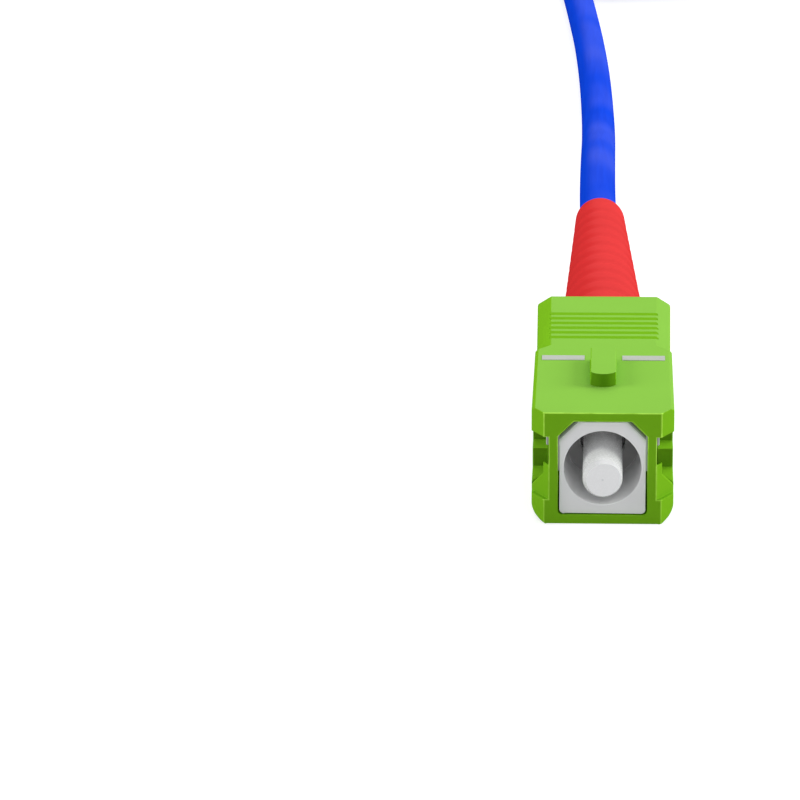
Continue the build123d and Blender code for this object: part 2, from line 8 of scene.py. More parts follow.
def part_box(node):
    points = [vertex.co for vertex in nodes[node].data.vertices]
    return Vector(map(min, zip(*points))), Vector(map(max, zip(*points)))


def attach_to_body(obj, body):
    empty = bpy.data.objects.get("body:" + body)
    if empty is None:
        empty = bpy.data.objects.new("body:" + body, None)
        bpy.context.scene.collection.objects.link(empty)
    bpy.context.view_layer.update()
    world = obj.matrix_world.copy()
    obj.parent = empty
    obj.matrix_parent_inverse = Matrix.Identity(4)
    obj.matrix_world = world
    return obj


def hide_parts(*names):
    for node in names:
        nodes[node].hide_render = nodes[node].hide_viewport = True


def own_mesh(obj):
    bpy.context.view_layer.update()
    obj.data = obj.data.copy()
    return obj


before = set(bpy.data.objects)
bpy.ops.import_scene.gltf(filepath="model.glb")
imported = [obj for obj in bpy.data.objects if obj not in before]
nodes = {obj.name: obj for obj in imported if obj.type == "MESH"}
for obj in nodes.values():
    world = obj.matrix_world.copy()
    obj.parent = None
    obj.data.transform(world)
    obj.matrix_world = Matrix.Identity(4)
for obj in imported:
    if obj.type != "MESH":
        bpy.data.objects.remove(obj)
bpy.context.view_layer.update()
scene = bpy.context.scene
scene.view_settings.view_transform = "Standard"
leadCentre, axisHeight = 27.8, 3.7  # mm: front face of the housing to the origin, floor to the connector's axis


def place(x, behind, z):  # mm: across, behind the housing's front face, up
    return Vector((x, behind - leadCentre, z)) / 1000


def mm(value):
    return value / 1000


def feed(tree, value, socket):  # a socket takes a link or a plain value
    if isinstance(value, bpy.types.NodeSocket):
        tree.links.new(value, socket)
    else:
        socket.default_value = value


def calc(tree, operation, *values):
    node = tree.nodes.new("ShaderNodeMath")
    node.operation = operation
    for value, socket in zip(values, node.inputs):
        feed(tree, value, socket)
    return node.outputs["Value"]


def spread(tree, value, fromLow, fromHigh, toLow, toHigh, kind="LINEAR"):
    node = tree.nodes.new("ShaderNodeMapRange")
    node.interpolation_type = kind
    for given, socket in zip((value, fromLow, fromHigh, toLow, toHigh), node.inputs):
        feed(tree, given, socket)
    return node.outputs["Result"]


print("frame loaded:", len(nodes), "nodes")

# camera, light and floor
cameraSet = {"across": 0.2, "ahead": 235.48, "height": 87.25, "pitch": 18.534, "yaw": 3.145, "roll": -0.606,
             "lens": 178.17}
lightSet = {
    "above": {"at": (0.1, 0.55, 0.62), "aim": (0, 0, 0), "size": 0.8, "watts": 5.2},
    "right": {"at": (0.82, 0.05, 0.42), "aim": (0, 0, 0), "size": 0.5, "watts": 6.4},
    "left": {"at": (-0.82, -0.12, 0.42), "aim": (0, 0, 0), "size": 0.5, "watts": 4.4},
    "front": {"at": (0.12, -0.88, 0.36), "aim": (0, 0, 0), "size": 0.6, "watts": 1.3},
}
stageSet = {"size": 3.0, "floor": 0.5, "glow": 0.68, "sky": 0.36}


def makeCamera():
    data = bpy.data.cameras.new("photoView")
    data.lens = cameraSet["lens"]
    data.sensor_width = 36
    data.clip_start, data.clip_end = 0.01, 20
    camera = bpy.data.objects.new("photoView", data)
    camera.location = place(cameraSet["across"], -cameraSet["ahead"], cameraSet["height"])
    aim = Matrix.Rotation(radians(cameraSet["yaw"]), 3, "Z") @ Matrix.Rotation(radians(90 - cameraSet["pitch"]), 3, "X")
    camera.rotation_euler = (aim @ Matrix.Rotation(radians(cameraSet["roll"]), 3, "Z")).to_euler()
    scene.collection.objects.link(camera)
    scene.camera = camera


def makeLights():
    for name, lamp in lightSet.items():
        data = bpy.data.lights.new(name, "AREA")
        data.shape = "SQUARE"
        data.size = lamp["size"]
        data.energy = lamp["watts"]
        light = bpy.data.objects.new(name, data)
        light.location = lamp["at"]
        light.rotation_euler = (Vector(lamp["aim"]) - light.location).to_track_quat("-Z", "Y").to_euler()
        light.visible_camera = False
        scene.collection.objects.link(light)
    world = bpy.data.worlds.new("whiteRoom")
    scene.world = world
    world.use_nodes = True
    tree = world.node_tree
    tree.nodes.clear()
    output = tree.nodes.new("ShaderNodeOutputWorld")
    sky = tree.nodes.new("ShaderNodeBackground")
    sky.inputs["Color"].default_value = (0.93, 0.95, 1.0, 1)
    sky.inputs["Strength"].default_value = stageSet["sky"]
    seen = tree.nodes.new("ShaderNodeBackground")
    seen.inputs["Color"].default_value = (1, 1, 1, 1)
    mix = tree.nodes.new("ShaderNodeMixShader")
    tree.links.new(backdropRays(tree), mix.inputs["Fac"])
    tree.links.new(sky.outputs["Background"], mix.inputs[1])
    tree.links.new(seen.outputs["Background"], mix.inputs[2])
    tree.links.new(mix.outputs["Shader"], output.inputs["Surface"])


def backdropRays(tree):  # what the camera sees straight, in gloss or through glass
    path = tree.nodes.new("ShaderNodeLightPath").outputs
    straight = calc(tree, "MAXIMUM", path["Is Camera Ray"], path["Is Glossy Ray"])
    return calc(tree, "MAXIMUM", straight, path["Is Transmission Ray"])


def makeFloor():
    half = stageSet["size"] / 2
    mesh = bpy.data.meshes.new("floor")
    mesh.from_pydata([(-half, -half, 0), (half, -half, 0), (half, half, 0), (-half, half, 0)], [], [(0, 1, 2, 3)])
    floor = bpy.data.objects.new("floor", mesh)
    scene.collection.objects.link(floor)
    material = bpy.data.materials.new("paleFloor")
    material.use_nodes = True
    tree = material.node_tree
    tree.nodes.clear()
    output = tree.nodes.new("ShaderNodeOutputMaterial")
    paint = tree.nodes.new("ShaderNodeBsdfDiffuse")
    paint.inputs["Color"].default_value = (stageSet["floor"],) * 3 + (1,)
    lift = tree.nodes.new("ShaderNodeEmission")
    lift.inputs["Color"].default_value = (1, 1, 1, 1)
    feed(tree, calc(tree, "MULTIPLY", backdropRays(tree), stageSet["glow"]), lift.inputs["Strength"])
    add = tree.nodes.new("ShaderNodeAddShader")
    tree.links.new(paint.outputs["BSDF"], add.inputs[0])
    tree.links.new(lift.outputs["Emission"], add.inputs[1])
    tree.links.new(add.outputs["Shader"], output.inputs["Surface"])
    mesh.materials.append(material)


makeCamera()
makeLights()
makeFloor()
print("camera, light and floor made")


# shader groups that several finishes share
def newGroup(name, inputs, outputs):
    group = bpy.data.node_groups.new(name, "ShaderNodeTree")
    for label, kind, value in inputs:
        socket = group.interface.new_socket(label, in_out="INPUT", socket_type=kind)
        socket.default_value = value
    for label, kind in outputs:
        group.interface.new_socket(label, in_out="OUTPUT", socket_type=kind)
    return group, group.nodes.new("NodeGroupInput").outputs, group.nodes.new("NodeGroupOutput").inputs


def noise(tree, point, scale, detail, roughness):
    node = tree.nodes.new("ShaderNodeTexNoise")
    for value, label in ((point, "Vector"), (scale, "Scale"), (detail, "Detail"), (roughness, "Roughness")):
        feed(tree, value, node.inputs[label])
    return node.outputs["Fac"]


def objectPoint(tree):
    return tree.nodes.new("ShaderNodeTexCoord").outputs["Object"]


def stretched(tree, along, across):  # object point with its pattern drawn out along the lead
    node = tree.nodes.new("ShaderNodeVectorMath")
    node.operation = "MULTIPLY"
    feed(tree, objectPoint(tree), node.inputs[0])
    node.inputs[1].default_value = (across, along, across)
    return node.outputs["Vector"]


def mixed(tree, share, first, second):
    node = tree.nodes.new("ShaderNodeMix")
    node.data_type = "RGBA"
    for value, label in ((share, "Factor_Float"), (first, "A_Color"), (second, "B_Color")):
        feed(tree, value, next(socket for socket in node.inputs if socket.identifier == label))
    return next(socket for socket in node.outputs if socket.identifier == "Result_Color")


def makeSkinGroup():  # cloudy tone, uneven gloss and fine grain of a moulded surface
    inputs = [("Colour", "NodeSocketColor", (1, 1, 1, 1)), ("Cloud", "NodeSocketFloat", 250.0)]
    inputs += [("Depth", "NodeSocketFloat", 0.05), ("Grain", "NodeSocketFloat", 6000.0)]
    inputs += [("Smooth", "NodeSocketFloat", 0.3), ("Rough", "NodeSocketFloat", 0.45)]
    outputs = [("Colour", "NodeSocketColor"), ("Roughness", "NodeSocketFloat"), ("Height", "NodeSocketFloat")]
    group, given, result = newGroup("skin", inputs, outputs)
    cloud = calc(group, "SUBTRACT", noise(group, objectPoint(group), given["Cloud"], 3, 0.55), 0.5)
    tone = calc(group, "MULTIPLY_ADD", cloud, given["Depth"], 1.0)
    shaded = group.nodes.new("ShaderNodeVectorMath")
    shaded.operation = "SCALE"
    feed(group, given["Colour"], shaded.inputs[0])
    feed(group, tone, shaded.inputs["Scale"])
    grain = noise(group, objectPoint(group), given["Grain"], 4, 0.6)
    feed(group, shaded.outputs["Vector"], result["Colour"])
    feed(group, spread(group, grain, 0.0, 1.0, given["Smooth"], given["Rough"]), result["Roughness"])
    feed(group, grain, result["Height"])
    return group


def makeLathedGroup():  # fine rings round the lead's axis on turned and drawn metal
    inputs = [("Lines", "NodeSocketFloat", 12000.0), ("Smooth", "NodeSocketFloat", 0.15)]
    inputs += [("Rough", "NodeSocketFloat", 0.35)]
    group, given, result = newGroup("lathed", inputs, [("Roughness", "NodeSocketFloat"), ("Height", "NodeSocketFloat")])
    lines = noise(group, stretched(group, 1, 0.03), given["Lines"], 2, 0.5)
    feed(group, spread(group, lines, 0.0, 1.0, given["Smooth"], given["Rough"]), result["Roughness"])
    feed(group, lines, result["Height"])
    return group


def makeStrandGroup():  # lengthwise lines of yarn and of drawn jackets
    inputs = [("Low", "NodeSocketColor", (0, 0, 0, 1)), ("High", "NodeSocketColor", (1, 1, 1, 1))]
    inputs += [("Scale", "NodeSocketFloat", 4000.0), ("Smooth", "NodeSocketFloat", 0.4)]
    inputs += [("Rough", "NodeSocketFloat", 0.6)]
    outputs = [("Colour", "NodeSocketColor"), ("Roughness", "NodeSocketFloat"), ("Height", "NodeSocketFloat")]
    group, given, result = newGroup("strands", inputs, outputs)
    lines = noise(group, stretched(group, 0.04, 1), given["Scale"], 3, 0.5)
    share = spread(group, lines, 0.3, 0.7, 0.0, 1.0)
    feed(group, mixed(group, share, given["Low"], given["High"]), result["Colour"])
    feed(group, spread(group, share, 0.0, 1.0, given["Rough"], given["Smooth"]), result["Roughness"])
    feed(group, lines, result["Height"])
    return group


paintedHighlightSet = {"fadeAt": 0.7, "low": 0.5, "high": 4, "lowShare": 0.3, "patchRange": (0.3, 0.6), "patchLeast": 0.35}


def makePaintedHighlightGroup():  # painted highlight in patches, most at the top, up to a distance behind the front face
    inputs = [("Colour", "NodeSocketColor", (1, 1, 1, 1)), ("Highlight Colour", "NodeSocketColor", (1, 1, 1, 1))]
    inputs += [("Patch", "NodeSocketFloat", 900.0), ("Behind", "NodeSocketFloat", 0.0001)]
    group, given, result = newGroup("paintedEdgeHighlight", inputs, [("Colour", "NodeSocketColor")])
    parts = group.nodes.new("ShaderNodeSeparateXYZ")
    feed(group, objectPoint(group), parts.inputs["Vector"])
    behind = calc(group, "ADD", parts.outputs["Y"], mm(leadCentre))
    near = spread(group, calc(group, "DIVIDE", behind, given["Behind"]), paintedHighlightSet["fadeAt"], 1.0, 1.0, 0.0)
    high = spread(group, parts.outputs["Z"], mm(paintedHighlightSet["low"]), mm(paintedHighlightSet["high"]), paintedHighlightSet["lowShare"], 1.0)
    near = calc(group, "MULTIPLY", near, high)
    cloud = noise(group, objectPoint(group), given["Patch"], 3, 0.6)
    patch = spread(group, cloud, *paintedHighlightSet["patchRange"], paintedHighlightSet["patchLeast"], 1.0)
    feed(group, mixed(group, calc(group, "MULTIPLY", near, patch), given["Colour"], given["Highlight Colour"]), result["Colour"])
    return group


def makePaintedShadeLightGroup():  # painted shade and painted light: a second tone on faces turned between two shares of the way to the front
    inputs = [("Colour", "NodeSocketColor", (1, 1, 1, 1)), ("Tone", "NodeSocketFloat", 1.0)]
    inputs += [("Least", "NodeSocketFloat", 0.0), ("Most", "NodeSocketFloat", 1.0)]
    inputs += [("Behind", "NodeSocketFloat", -1.0), ("Fade", "NodeSocketFloat", 0.0001)]
    inputs += [("Above", "NodeSocketFloat", -1.0)]
    group, given, result = newGroup("paintedShadeAndLight", inputs, [("Colour", "NodeSocketColor")])
    parts, facing = group.nodes.new("ShaderNodeSeparateXYZ"), group.nodes.new("ShaderNodeSeparateXYZ")
    feed(group, objectPoint(group), parts.inputs["Vector"])
    feed(group, group.nodes.new("ShaderNodeTexCoord").outputs["Normal"], facing.inputs["Vector"])
    front = calc(group, "MULTIPLY", facing.outputs["Y"], -1.0)
    start = calc(group, "SUBTRACT", given["Behind"], mm(leadCentre))
    end = calc(group, "ADD", start, given["Fade"])
    inside = spread(group, parts.outputs["Y"], start, end, 0.0, 1.0, "SMOOTHSTEP")
    inside = calc(group, "MULTIPLY", calc(group, "GREATER_THAN", front, given["Least"]), inside)
    inside = calc(group, "MULTIPLY", calc(group, "LESS_THAN", front, given["Most"]), inside)
    inside = calc(group, "MULTIPLY", calc(group, "GREATER_THAN", parts.outputs["Z"], given["Above"]), inside)
    toned = group.nodes.new("ShaderNodeVectorMath")
    toned.operation = "SCALE"
    feed(group, given["Colour"], toned.inputs[0])
    feed(group, spread(group, inside, 0.0, 1.0, 1.0, given["Tone"]), toned.inputs["Scale"])
    feed(group, toned.outputs["Vector"], result["Colour"])
    return group


paintedSheenSet = {"toward": (0.42, 0.5, 0.91), "fullAt": 0.88}


def makePaintedSheenGroup():  # painted sheen: a pale tint on faces turned up, right and back, above a height
    inputs = [("Colour", "NodeSocketColor", (1, 1, 1, 1)), ("Sheen Amount", "NodeSocketFloat", 0.05)]
    inputs += [("Soft", "NodeSocketFloat", 0.16), ("Above", "NodeSocketFloat", 0.0)]
    group, given, result = newGroup("paintedSheenByFacing", inputs, [("Colour", "NodeSocketColor")])
    parts, toward = group.nodes.new("ShaderNodeSeparateXYZ"), group.nodes.new("ShaderNodeVectorMath")
    feed(group, objectPoint(group), parts.inputs["Vector"])
    toward.operation = "DOT_PRODUCT"
    feed(group, group.nodes.new("ShaderNodeTexCoord").outputs["Normal"], toward.inputs[0])
    toward.inputs[1].default_value = paintedSheenSet["toward"]
    least = calc(group, "SUBTRACT", paintedSheenSet["fullAt"], given["Soft"])
    share = spread(group, toward.outputs["Value"], least, paintedSheenSet["fullAt"], 0.0, given["Sheen Amount"], "SMOOTHSTEP")
    high = calc(group, "GREATER_THAN", parts.outputs["Z"], given["Above"])
    share = calc(group, "MULTIPLY", share, high)
    feed(group, mixed(group, share, given["Colour"], (1, 1, 1, 1)), result["Colour"])
    return group


skinGroup = makeSkinGroup()
lathedGroup = makeLathedGroup()
strandGroup = makeStrandGroup()
paintedHighlightGroup = makePaintedHighlightGroup()
paintedShadeLightGroup = makePaintedShadeLightGroup()
paintedSheenGroup = makePaintedSheenGroup()


# finishes
def startFinish(name):
    material = bpy.data.materials.new(name)
    material.use_nodes = True
    return material, material.node_tree, material.node_tree.nodes["Principled BSDF"]


def addGroup(tree, group, values):
    node = tree.nodes.new("ShaderNodeGroup")
    node.node_tree = group
    for label, value in values.items():
        feed(tree, value, node.inputs[label])
    return node.outputs


def addBump(tree, shader, height, distance, strength):
    bump = tree.nodes.new("ShaderNodeBump")
    bump.inputs["Distance"].default_value = mm(distance)
    bump.inputs["Strength"].default_value = strength
    feed(tree, height, bump.inputs["Height"])
    feed(tree, bump.outputs["Normal"], shader.inputs["Normal"])


def setPlain(shader, plain):
    for label, value in plain.items():
        shader.inputs[label.replace("_", " ")].default_value = value


def makeSkin(name, colour, cloud=250.0, depth=0.06, grain=6000.0, gloss=(0.3, 0.42), bump=0.004, highlightEdges=None,
             turned=(), paintedSheen=None, **plain):
    material, tree, shader = startFinish(name)
    # painted highlight, in patches, on faces near the front face
    if highlightEdges:
        colour = addGroup(tree, paintedHighlightGroup, {"Colour": colour, "Highlight Colour": highlightEdges[0], "Behind": mm(highlightEdges[1])})["Colour"]
    # painted shade and painted light by how far a face turns to the front, behind a depth and above a height
    for tone, least, most, where in turned:  # where: mm behind the front face, faded in, above the floor
        values = {label: mm(value) for label, value in where.items()}
        values.update({"Colour": colour, "Tone": tone, "Least": least, "Most": most})
        colour = addGroup(tree, paintedShadeLightGroup, values)["Colour"]
    # painted sheen on faces turned up, right and back
    if paintedSheen:  # amount, softness, mm above the floor
        values = {"Sheen Amount": paintedSheen[0], "Soft": paintedSheen[1], "Above": mm(paintedSheen[2])}
        colour = addGroup(tree, paintedSheenGroup, {"Colour": colour, **values})["Colour"]
    values = {"Colour": colour, "Cloud": cloud, "Depth": depth, "Grain": grain, "Smooth": gloss[0], "Rough": gloss[1]}
    skin = addGroup(tree, skinGroup, values)
    feed(tree, skin["Colour"], shader.inputs["Base Color"])
    feed(tree, skin["Roughness"], shader.inputs["Roughness"])
    addBump(tree, shader, skin["Height"], bump, 0.3)
    setPlain(shader, plain)
    return material


sheenPatchFade = (0.3, 0.75)  # noise values between which a patch of painted sheen fades in


def makeDrawn(name, low, high, scale, gloss, bump, paintedSheen=None, **plain):
    material, tree, shader = startFinish(name)
    values = {"Low": low, "High": high, "Scale": scale, "Smooth": gloss[0], "Rough": gloss[1]}
    strands = addGroup(tree, strandGroup, values)
    colour = strands["Colour"]
    if paintedSheen:  # painted sheen in patches: amount, softness and scale of the patches along the length
        patch = spread(tree, noise(tree, objectPoint(tree), paintedSheen[2], 1, 0.5), *sheenPatchFade, 0.0, paintedSheen[0])
        colour = addGroup(tree, paintedSheenGroup, {"Colour": colour, "Sheen Amount": patch, "Soft": paintedSheen[1]})["Colour"]
    feed(tree, colour, shader.inputs["Base Color"])
    feed(tree, strands["Roughness"], shader.inputs["Roughness"])
    addBump(tree, shader, strands["Height"], bump, 0.4)
    setPlain(shader, plain)
    return material


def makeMetal(name, colour, lines, gloss):
    material, tree, shader = startFinish(name)
    lathed = addGroup(tree, lathedGroup, {"Lines": lines, "Smooth": gloss[0], "Rough": gloss[1]})
    shader.inputs["Base Color"].default_value = colour
    shader.inputs["Metallic"].default_value = 1.0
    feed(tree, lathed["Roughness"], shader.inputs["Roughness"])
    addBump(tree, shader, lathed["Height"], 0.003, 0.2)
    return material


def makeWoven(name, low, high, pitch, bump):  # plain weave on the strap's own map, in metres
    material, tree, shader = startFinish(name)
    parts = tree.nodes.new("ShaderNodeSeparateXYZ")
    feed(tree, tree.nodes.new("ShaderNodeTexCoord").outputs["UV"], parts.inputs["Vector"])
    turns = tau / mm(pitch)
    along = calc(tree, "SINE", calc(tree, "MULTIPLY", parts.outputs["X"], turns))
    across = calc(tree, "SINE", calc(tree, "MULTIPLY", parts.outputs["Y"], turns))
    thread = spread(tree, calc(tree, "MULTIPLY", along, across), -1.0, 1.0, 0.0, 1.0)
    fuzz = noise(tree, objectPoint(tree), 9000.0, 3, 0.6)
    height = calc(tree, "MULTIPLY_ADD", fuzz, 0.4, thread)
    feed(tree, mixed(tree, spread(tree, height, 0.3, 1.2, 0.0, 1.0), low, high), shader.inputs["Base Color"])
    feed(tree, spread(tree, fuzz, 0.0, 1.0, 0.65, 0.95), shader.inputs["Roughness"])
    addBump(tree, shader, height, bump, 0.7)
    shader.inputs["Sheen Weight"].default_value = 0.3
    return material


finishes = {
    # greenMoulding: painted shade on front-facing walls 2 mm and more behind the front face, painted sheen on faces
    # turned up, right and back above 5.8 mm
    "greenMoulding": makeSkin("greenMoulding", (0.178, 0.44, 0.013, 1), gloss=(0.36, 0.46),
                              turned=[(0.6, 0.5, 2, {"Behind": 2})], paintedSheen=(0.046, 0.16, 5.8),
                              Specular_IOR_Level=0.0),
    # greenEdge: painted highlight on the edges within 0.16 mm of the front face, painted sheen on faces turned up,
    # right and back above 5.8 mm
    "greenEdge": makeSkin("greenEdge", (0.182, 0.445, 0.014, 1), gloss=(0.34, 0.44), Specular_IOR_Level=0.0,
                          highlightEdges=((0.45, 0.82, 0.09, 1), 0.16), paintedSheen=(0.046, 0.16, 5.8)),
    "whitePrint": makeSkin("whitePrint", (0.385, 0.41, 0.36, 1), cloud=900, depth=0.1, gloss=(0.5, 0.6),
                           Specular_IOR_Level=0.05),
    # paleMoulding: painted shade on front-facing faces 3 mm and more behind the front face and on faces turned part way
    # to the front above 5 mm
    "paleMoulding": makeSkin("paleMoulding", (0.83, 0.83, 0.828, 1), depth=0.04, gloss=(0.3, 0.42),
                             turned=[(0.5, 0.5, 2, {"Behind": 3}), (0.5, 0.3, 0.75, {"Above": 5})],
                             Specular_IOR_Level=0.2),
    # paleEdge: painted highlight on the edges within 0.4 mm of the front face, painted shade on edges 3 mm and more
    # behind it
    "paleEdge": makeSkin("paleEdge", (0.87, 0.87, 0.87, 1), depth=0.05, gloss=(0.28, 0.38), Specular_IOR_Level=0.2,
                         highlightEdges=((0.9, 0.9, 0.9, 1), 0.4), turned=[(0.65, 0.2, 2, {"Behind": 3})]),
    # zirconia: painted light on the end face and on the sides from 0.4 mm behind the housing's front face, painted
    # shade on the chamfer
    "zirconia": makeSkin("zirconia", (0.8, 0.8, 0.796, 1), depth=0.02, grain=9000, gloss=(0.22, 0.32), bump=0.001,
                         turned=[(1.18, 0.95, 2, {}), (0.84, 0.2, 0.95, {}),
                                 (1.18, -0.2, 0.2, {"Behind": -1.2, "Fade": 1.6})], Specular_IOR_Level=0.3),
    "fibreGlass": makeSkin("fibreGlass", (0.9, 0.92, 0.92, 1), depth=0.02, grain=20000, gloss=(0.02, 0.06),
                           bump=0.0005, Transmission_Weight=0.1, IOR=1.46),
    "bufferCoat": makeDrawn("bufferCoat", (0.78, 0.77, 0.7, 1), (0.86, 0.85, 0.8, 1), 3000, (0.35, 0.5), 0.004),
    "aramidYarn": makeDrawn("aramidYarn", (0.5, 0.3, 0.03, 1), (0.88, 0.68, 0.12, 1), 9000, (0.45, 0.75), 0.05),
    # redBoot: painted sheen on faces turned up, right and back
    "redBoot": makeSkin("redBoot", (0.61, 0.03, 0.03, 1), depth=0.12, grain=4000, gloss=(0.45, 0.6), bump=0.006,
                        paintedSheen=(0.012, 0.35, 0.0), Specular_IOR_Level=0.0),
    # blueJacket: painted sheen in patches on faces turned up, right and back
    "blueJacket": makeDrawn("blueJacket", (0.0035, 0.046, 0.56, 1), (0.0045, 0.053, 0.62, 1), 2500, (0.4, 0.5), 0.003,
                            paintedSheen=(0.036, 0.6, 110.0), Specular_IOR_Level=0.0),
    "blueMoulding": makeSkin("blueMoulding", (0.003, 0.058, 0.52, 1), depth=0.08, gloss=(0.3, 0.4),
                             Specular_IOR_Level=0.02),
    # blueEdge: painted highlight along the edges, strongest at the top
    "blueEdge": makeSkin("blueEdge", (0.004, 0.065, 0.55, 1), depth=0.15, gloss=(0.28, 0.4), Specular_IOR_Level=0.02,
                         highlightEdges=((0.03, 0.12, 0.62, 1), 400)),
    "strapCloth": makeWoven("strapCloth", (0.004, 0.004, 0.005, 1), (0.03, 0.03, 0.033, 1), 0.5, 0.06),
    "nickelPlate": makeMetal("nickelPlate", (0.66, 0.64, 0.6, 1), 9000, (0.12, 0.32)),
    # painted shade: the flanges are near-black, standing in for the shadow in the gap round the ferrule
    "shadeBlackSteel": makeMetal("shadeBlackSteel", (0.05, 0.05, 0.05, 1), 9000, (0.15, 0.3)),
    "springWire": makeMetal("springWire", (0.56, 0.56, 0.57, 1), 15000, (0.2, 0.4)),
}
print("finishes made:", len(finishes))


def dress(node, finish):
    mesh = nodes[node].data
    mesh.materials.clear()
    mesh.materials.append(finishes[finish])


def attach(piece, body, slot, *replaced):
    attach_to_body(piece, body)
    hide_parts(*replaced)


# mouldings: the CAD shape with its edges broken, wider where a mould is polished
edgeSet = {
    "outer_housing": {"piece": "gripHousing", "body": "housing", "slot": "green_plastic", "width": 0.2, "fine": 0.3,
                      "finish": "greenMoulding", "edge": "greenEdge"},
    "plug_frame": {"piece": "innerFrame", "body": "core", "slot": "white_plastic", "width": 0.06, "fine": 1.0,
                   "finish": "paleMoulding", "edge": "paleEdge"},
    "lc_plug_body": {"piece": "farPlugBody", "body": "core", "slot": "blue_plastic", "width": 0.06, "fine": 1.0,
                     "finish": "blueMoulding", "edge": "blueEdge"},
    "lc_rear_body": {"piece": "farRearBody", "body": "core", "slot": "blue_plastic", "width": 0.06, "fine": 1.0,
                     "finish": "blueMoulding", "edge": "blueEdge"},
}
edgeAngle, shortEdge, gripAt, gripEdge = 28, 0.25, 12.0, 6.0  # degrees and mm


def edgeShare(edge, fine):  # part of the full width that an edge gets
    if len(edge.link_faces) != 2 or edge.calc_face_angle(0) < radians(edgeAngle):
        return 0.0
    length = edge.calc_length()
    if length < mm(shortEdge):
        return 0.0
    ends = [vert.co.y + mm(leadCentre) for vert in edge.verts]
    return 1.0 if min(ends) > mm(gripAt) and length > mm(gripEdge) and abs(ends[0] - ends[1]) > mm(gripEdge) else fine


def breakEdges(node, setting):
    mesh = nodes[node].data.copy()
    mesh.name = setting["piece"]
    form = bmesh.new()
    form.from_mesh(mesh)
    bmesh.ops.remove_doubles(form, verts=form.verts, dist=mm(0.001))
    bmesh.ops.dissolve_limit(form, angle_limit=radians(1), verts=form.verts, edges=form.edges)
    walls = [face for face in form.faces if abs(face.normal.x) > 0.99]
    bmesh.ops.connect_verts_concave(form, faces=walls)  # a wall round a window folds over when it is bevelled
    weight = form.edges.layers.float.new("bevel_weight_edge")
    for edge in form.edges:
        edge[weight] = edgeShare(edge, setting["fine"])
    form.to_mesh(mesh)
    form.free()
    mesh.materials.clear()
    mesh.materials.append(finishes[setting["finish"]])
    mesh.materials.append(finishes[setting["edge"]])
    piece = bpy.data.objects.new(setting["piece"], mesh)
    scene.collection.objects.link(piece)
    bevel = piece.modifiers.new("edges", "BEVEL")
    bevel.width = mm(setting["width"])
    bevel.segments = 3
    bevel.limit_method = "WEIGHT"
    bevel.use_clamp_overlap = False
    bevel.material = 1
    bevel.harden_normals = True
    attach(piece, setting["body"], setting["slot"], node)


for node, setting in edgeSet.items():
    breakEdges(node, setting)
for node, finish in {
    "insertion_marks": "whitePrint", "ferrule": "zirconia", "lc_ferrule": "zirconia", "glass_fibre": "fibreGlass",
    "ferrule_flange": "shadeBlackSteel", "lc_flange": "shadeBlackSteel", "stop_ring": "nickelPlate",
    "crimp_sleeve": "nickelPlate", "lc_crimp_sleeve": "nickelPlate", "buffered_fibre": "bufferCoat",
    "aramid_yarn": "aramidYarn",
}.items():
    dress(node, finish)
print("mouldings dressed")


# geometry trees for the pieces whose shape follows a rule
def startTree(name, sizes):
    tree = bpy.data.node_groups.new(name, "GeometryNodeTree")
    tree.interface.new_socket("Geometry", in_out="OUTPUT", socket_type="NodeSocketGeometry")
    for label in sizes:
        tree.interface.new_socket(label, in_out="INPUT", socket_type="NodeSocketFloat")
    tree.interface.new_socket("Place", in_out="INPUT", socket_type="NodeSocketVector")
    tree.interface.new_socket("Turn", in_out="INPUT", socket_type="NodeSocketVector")
    tree.interface.new_socket("Finish", in_out="INPUT", socket_type="NodeSocketMaterial")
    return tree, tree.nodes.new("NodeGroupInput").outputs


def passOn(tree, kind, geometry, label="Geometry", **values):  # one geometry node and its sockets
    node = tree.nodes.new(kind)
    feed(tree, geometry, node.inputs[label])
    for name, value in values.items():
        feed(tree, value, node.inputs[name.replace("_", " ")])
    return node.outputs[0]


def endTree(tree, given, geometry):
    geometry = passOn(tree, "GeometryNodeSetShadeSmooth", geometry)
    geometry = passOn(tree, "GeometryNodeTransform", geometry, Translation=given["Place"], Rotation=given["Turn"])
    geometry = passOn(tree, "GeometryNodeRealizeInstances", geometry)
    geometry = passOn(tree, "GeometryNodeSetMaterial", geometry, Material=given["Finish"])
    feed(tree, geometry, tree.nodes.new("NodeGroupOutput").inputs["Geometry"])
    return tree


def grow(name, tree, values):
    piece = bpy.data.objects.new(name, bpy.data.meshes.new(name + "Seed"))
    scene.collection.objects.link(piece)
    rule = piece.modifiers.new("rule", "NODES")
    rule.node_group = tree
    for item in tree.interface.items_tree:
        if item.in_out == "INPUT":
            rule[item.identifier] = values[item.name]
    graph = bpy.context.evaluated_depsgraph_get()
    mesh = bpy.data.meshes.new_from_object(piece.evaluated_get(graph), depsgraph=graph)
    mesh.name = name
    piece.modifiers.remove(rule)
    piece.data = mesh
    return piece


sheetSet = {"around": 73, "along": 300, "outside": 0.92, "bore": 0.93, "bored": 0.2}  # shares of the sheet


